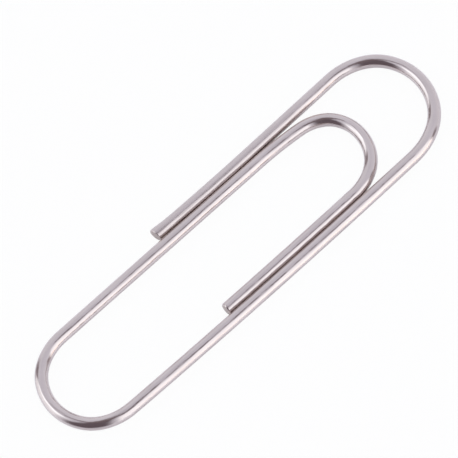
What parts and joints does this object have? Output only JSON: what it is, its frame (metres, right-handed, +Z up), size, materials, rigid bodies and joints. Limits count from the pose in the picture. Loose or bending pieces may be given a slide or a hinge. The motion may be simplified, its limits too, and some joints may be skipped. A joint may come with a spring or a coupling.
{
  "type": "paper clip",
  "caption": "Double-loop wire paper clip: plated round wire bent flat into an outer and an inner loop, whose bends twist to grip a stack of paper.",
  "frame": {"origin": "middle of the clip's length and width, on the plane it lies on", "axes": "+X along the clip towards the outer bend, where paper goes in; +Y across it towards the outer tail; +Z up, out of the clip's plane"},
  "size_m": [0.0328, 0.0092, 0.0009],
  "materials": {
    "plated_wire": "bright drawn steel wire, nickel plated"
  },
  "bodies": {
    "outer_loop": {"outer_bend_long_half": "plated_wire", "long_leg": "plated_wire", "base_bend_long_half": "plated_wire"},
    "outer_tail": {"outer_tail": "plated_wire", "outer_bend_tail_half": "plated_wire"},
    "inner_loop": {"base_bend_middle_half": "plated_wire", "middle_leg": "plated_wire", "inner_bend_middle_half": "plated_wire"},
    "inner_tail": {"inner_bend_tail_half": "plated_wire", "inner_tail": "plated_wire"}
  },
  "joints": [
    {"name": "inner_loop_flex", "type": "hinge", "parent": "outer_loop", "child": "inner_loop", "pos_m": [-0.01598, -0.00045, 0.00044], "axis": [0, -1, 0], "range_deg": [-10, 10], "stiffness_Nm_per_rad": 0.17},
    {"name": "outer_tail_flex", "type": "hinge", "parent": "outer_loop", "child": "outer_tail", "pos_m": [0.01598, 0.00015, 0.00044], "axis": [0, 1, 0], "range_deg": [-8, 8], "stiffness_Nm_per_rad": 0.24},
    {"name": "inner_tail_flex", "type": "hinge", "parent": "inner_loop", "child": "inner_tail", "pos_m": [0.01068, 0.00007, 0.00044], "axis": [0, 1, 0], "range_deg": [-6, 6], "stiffness_Nm_per_rad": 0.315}
  ]
}
